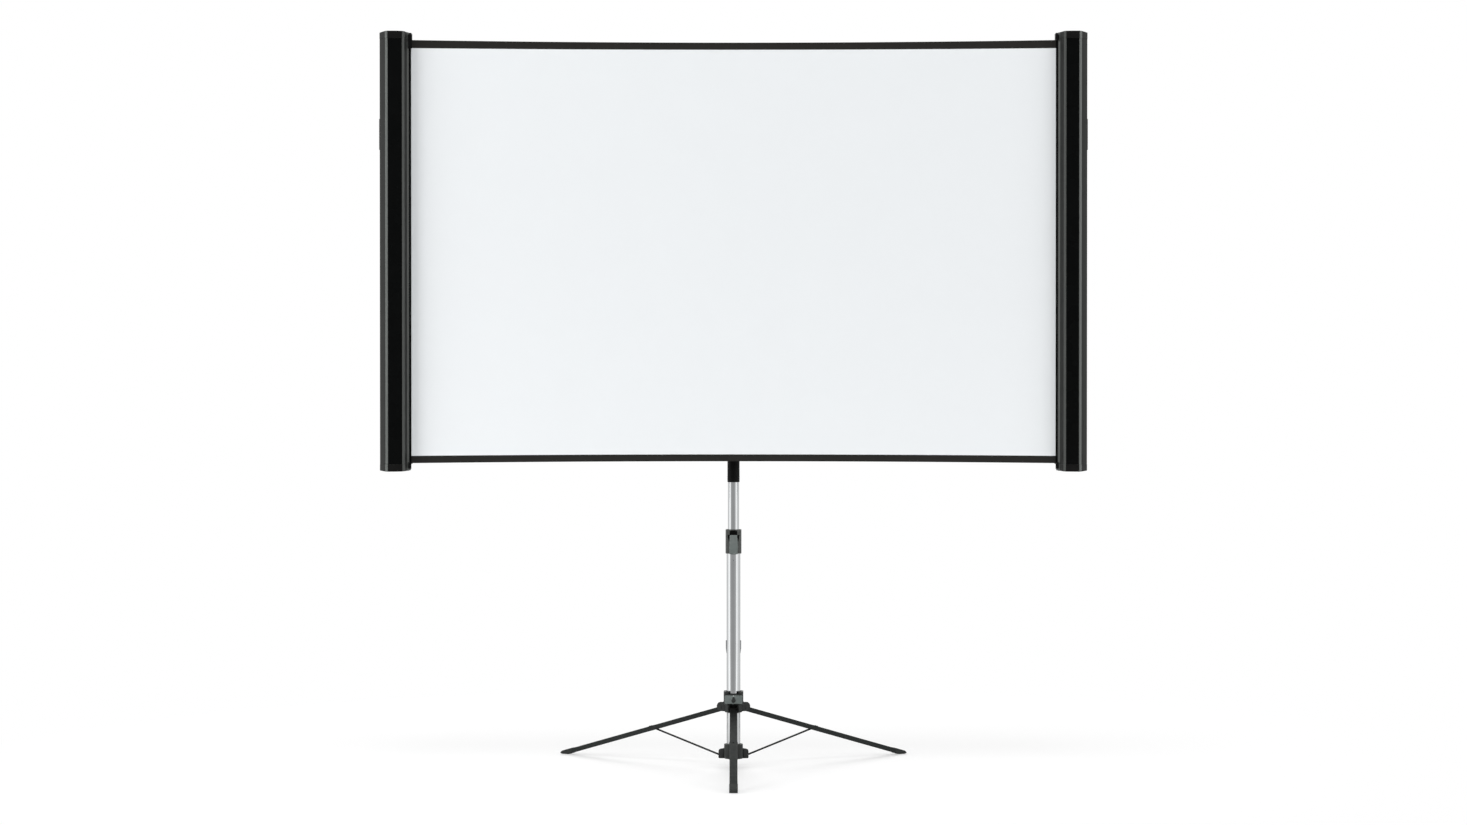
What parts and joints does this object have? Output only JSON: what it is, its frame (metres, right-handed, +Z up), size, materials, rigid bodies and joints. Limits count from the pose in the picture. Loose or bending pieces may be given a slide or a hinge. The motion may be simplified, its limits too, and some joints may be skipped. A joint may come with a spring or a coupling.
{
  "type": "tripod projection screen",
  "caption": "Portable projection screen: white fabric pulled out sideways between two upright casings, on a telescopic pole with a folding three-leg stand.",
  "frame": {"origin": "on the floor, under the middle of the whole part's box", "axes": "+Z up, -Y towards the audience, +X to the right as the audience sees it; the pole stands at x 0, y 0.1326"},
  "size_m": [1.8952, 0.8368, 1.971],
  "materials": {
    "anodised_grey": "dark grey anodised extrusion, satin with bright edges",
    "strip_black": "smooth near-black insert strip",
    "lip_black": "matt black pile lip",
    "cap_plastic": "black moulded plastic, fine texture",
    "screen_white": "matt white coated projection fabric",
    "screen_black": "matt black coated fabric",
    "bright_tube": "bright drawn and anodised tube",
    "clamp_plastic": "dark grey moulded plastic",
    "lever_plastic": "mid grey moulded plastic",
    "hub_plastic": "dark grey moulded plastic",
    "cover_plastic": "grey moulded cover plate",
    "painted_steel": "satin dark grey powder coat",
    "foot_rubber": "black moulded rubber",
    "zinc_steel": "bright zinc"
  },
  "bodies": {
    "stand": {"outer_tube": "bright_tube", "tube_end_plug": "foot_rubber", "tube_rivet": "zinc_steel", "tube_wedge_right": "bright_tube", "tube_wedge_left": "bright_tube", "clamp_collar": "clamp_plastic", "clamp_lever_pin": "zinc_steel", "lower_hub": "hub_plastic"},
    "clamp_lever": {"clamp_lever": "lever_plastic"},
    "mast": {"inner_tube": "bright_tube", "mast_bush": "cap_plastic"},
    "screen_frame": {"screen_socket": "cap_plastic", "spine_bar": "anodised_grey", "spine_pin": "zinc_steel", "projection_surface": "screen_white", "border_band_top": "screen_black", "border_band_bottom": "screen_black"},
    "rising_arm_right": {"scissor_arm_rising_right": "anodised_grey", "crossing_pin_right": "zinc_steel"},
    "falling_arm_right": {"scissor_arm_falling_right": "anodised_grey"},
    "rising_arm_left": {"scissor_arm_rising_left": "anodised_grey", "crossing_pin_left": "zinc_steel"},
    "falling_arm_left": {"scissor_arm_falling_left": "anodised_grey"},
    "casing_right": {"casing_shell_right": "anodised_grey", "front_strip_right": "strip_black", "slot_lip_right": "lip_black", "end_cap_top_right": "cap_plastic", "end_cap_bottom_right": "cap_plastic", "roller_bearing_top_right": "cap_plastic", "roller_bearing_bottom_right": "cap_plastic", "rear_rail_right": "painted_steel"},
    "casing_left": {"casing_shell_left": "anodised_grey", "front_strip_left": "strip_black", "slot_lip_left": "lip_black", "end_cap_top_left": "cap_plastic", "end_cap_bottom_left": "cap_plastic", "roller_bearing_top_left": "cap_plastic", "roller_bearing_bottom_left": "cap_plastic", "rear_rail_left": "painted_steel"},
    "slider_right": {"slider_block_right": "cap_plastic"},
    "slider_left": {"slider_block_left": "cap_plastic"},
    "carriage": {"scissor_carriage": "cap_plastic"},
    "roller_right": {"roller_tube_right": "zinc_steel", "wound_fabric_right": "screen_black"},
    "roller_left": {"roller_tube_left": "zinc_steel", "wound_fabric_left": "screen_black"},
    "paddle_right": {"release_paddle_right": "cap_plastic"},
    "paddle_left": {"release_paddle_left": "cap_plastic"},
    "brace_front": {"brace_front": "painted_steel"},
    "brace_right": {"brace_right": "painted_steel"},
    "brace_left": {"brace_left": "painted_steel"},
    "leg_front": {"leg_front": "painted_steel", "foot_front": "foot_rubber"},
    "leg_right": {"leg_right": "painted_steel", "foot_right": "foot_rubber"},
    "leg_left": {"leg_left": "painted_steel", "foot_left": "foot_rubber"},
    "hub": {"upper_hub": "hub_plastic", "hub_cover": "cover_plastic"},
    "hub_button": {"hub_button": "hub_plastic"}
  },
  "joints": [
    {"name": "tripod_fold", "type": "hinge", "parent": "stand", "child": "brace_front", "pos_m": [0, 0.10055, 0.024], "axis": [-1, 0, 0], "range_deg": [0, 70.7]},
    {"name": "brace_right_hinge", "type": "hinge", "parent": "stand", "child": "brace_right", "pos_m": [0.02771, 0.14855, 0.024], "axis": [0.5, -0.866, 0], "range_deg": [0, 70.8]},
    {"name": "brace_left_hinge", "type": "hinge", "parent": "stand", "child": "brace_left", "pos_m": [-0.02771, 0.14855, 0.024], "axis": [0.5, 0.866, 0], "range_deg": [0, 70.8]},
    {"name": "leg_front_hinge", "type": "hinge", "parent": "brace_front", "child": "leg_front", "pos_m": [0, -0.12554, 0.09], "axis": [-1, 0, 0], "range_deg": [-141.6, 0]},
    {"name": "leg_right_hinge", "type": "hinge", "parent": "brace_right", "child": "leg_right", "pos_m": [0.22352, 0.2616, 0.09], "axis": [0.5, -0.866, 0], "range_deg": [-141.6, 0]},
    {"name": "leg_left_hinge", "type": "hinge", "parent": "brace_left", "child": "leg_left", "pos_m": [-0.22352, 0.2616, 0.09], "axis": [0.5, 0.866, 0], "range_deg": [-141.6, 0]},
    {"name": "hub_hinge", "type": "hinge", "parent": "leg_front", "child": "hub", "pos_m": [0, 0.10055, 0.156], "axis": [-1, 0, 0], "range_deg": [0, 70.8]},
    {"name": "hub_button_press", "type": "slide", "parent": "hub", "child": "hub_button", "axis": [0, 1, 0], "range_m": [0, 0.0012], "stiffness_N_per_m": 500, "springref_m": -0.002},
    {"name": "clamp_lever_hinge", "type": "hinge", "parent": "stand", "child": "clamp_lever", "pos_m": [0, 0.10845, 0.621], "axis": [-1, 0, 0], "range_deg": [0, 100]},
    {"name": "pole_height", "type": "slide", "parent": "stand", "child": "mast", "axis": [0, 0, 1], "range_m": [-0.12, 0.25]},
    {"name": "screen_lift_off", "type": "slide", "parent": "mast", "child": "screen_frame", "axis": [0, 0, 1], "range_m": [0, 0.06]},
    {"name": "screen_fold", "type": "hinge", "parent": "screen_frame", "child": "rising_arm_right", "pos_m": [0, 0.1166, 0.896], "axis": [0, -1, 0], "range_deg": [0, 58.9], "deforming": ["projection_surface", "border_band_top", "border_band_bottom"]},
    {"name": "rising_arm_left_hinge", "type": "hinge", "parent": "screen_frame", "child": "rising_arm_left", "pos_m": [0, 0.1166, 0.896], "axis": [0, 1, 0], "range_deg": [0, 59]},
    {"name": "falling_arm_right_hinge", "type": "hinge", "parent": "rising_arm_right", "child": "falling_arm_right", "pos_m": [0.4455, 0.1166, 1.14425], "axis": [0, -1, 0], "range_deg": [-118, 0]},
    {"name": "falling_arm_left_hinge", "type": "hinge", "parent": "rising_arm_left", "child": "falling_arm_left", "pos_m": [-0.4455, 0.1166, 1.14425], "axis": [0, 1, 0], "range_deg": [-118, 0]},
    {"name": "casing_right_hinge", "type": "hinge", "parent": "falling_arm_right", "child": "casing_right", "pos_m": [0.891, 0.1166, 0.896], "axis": [0, -1, 0], "range_deg": [0, 59]},
    {"name": "casing_left_hinge", "type": "hinge", "parent": "falling_arm_left", "child": "casing_left", "pos_m": [-0.891, 0.1166, 0.896], "axis": [0, 1, 0], "range_deg": [0, 59]},
    {"name": "slider_right_hinge", "type": "hinge", "parent": "rising_arm_right", "child": "slider_right", "pos_m": [0.891, 0.1166, 1.3925], "axis": [0, -1, 0], "range_deg": [-59, 0]},
    {"name": "slider_left_hinge", "type": "hinge", "parent": "rising_arm_left", "child": "slider_left", "pos_m": [-0.891, 0.1166, 1.3925], "axis": [0, 1, 0], "range_deg": [-59, 0]},
    {"name": "carriage_hinge", "type": "hinge", "parent": "falling_arm_right", "child": "carriage", "pos_m": [0, 0.1166, 1.3925], "axis": [0, -1, 0], "range_deg": [0, 59]},
    {"name": "roller_right_spin", "type": "hinge", "parent": "casing_right", "child": "roller_right", "pos_m": [0.903, 0.0778, 1.3835], "axis": [0, 0, 1], "range_deg": [0, 3250]},
    {"name": "roller_left_spin", "type": "hinge", "parent": "casing_left", "child": "roller_left", "pos_m": [-0.903, 0.0778, 1.3835], "axis": [0, 0, -1], "range_deg": [0, 3250]},
    {"name": "paddle_right_press", "type": "slide", "parent": "casing_right", "child": "paddle_right", "axis": [-1, 0, 0], "range_m": [0, 0.002], "stiffness_N_per_m": 800, "springref_m": -0.002},
    {"name": "paddle_left_press", "type": "slide", "parent": "casing_left", "child": "paddle_left", "axis": [1, 0, 0], "range_m": [0, 0.002], "stiffness_N_per_m": 800, "springref_m": -0.002}
  ],
  "couplings": [
    {"joint": "brace_right_hinge", "follows": "tripod_fold", "ratio": 1},
    {"joint": "brace_left_hinge", "follows": "tripod_fold", "ratio": 1},
    {"joint": "leg_front_hinge", "follows": "tripod_fold", "ratio": -2},
    {"joint": "leg_right_hinge", "follows": "tripod_fold", "ratio": -2},
    {"joint": "leg_left_hinge", "follows": "tripod_fold", "ratio": -2},
    {"joint": "hub_hinge", "follows": "tripod_fold", "ratio": 1},
    {"joint": "rising_arm_left_hinge", "follows": "screen_fold", "ratio": 1},
    {"joint": "falling_arm_right_hinge", "follows": "screen_fold", "ratio": -2},
    {"joint": "falling_arm_left_hinge", "follows": "screen_fold", "ratio": -2},
    {"joint": "casing_right_hinge", "follows": "screen_fold", "ratio": 1},
    {"joint": "casing_left_hinge", "follows": "screen_fold", "ratio": 1},
    {"joint": "slider_right_hinge", "follows": "screen_fold", "ratio": -1},
    {"joint": "slider_left_hinge", "follows": "screen_fold", "ratio": -1},
    {"joint": "carriage_hinge", "follows": "screen_fold", "ratio": 1},
    {"joint": "roller_right_spin", "follows": "screen_fold", "ratio": 54.4},
    {"joint": "roller_left_spin", "follows": "screen_fold", "ratio": 54.4}
  ]
}
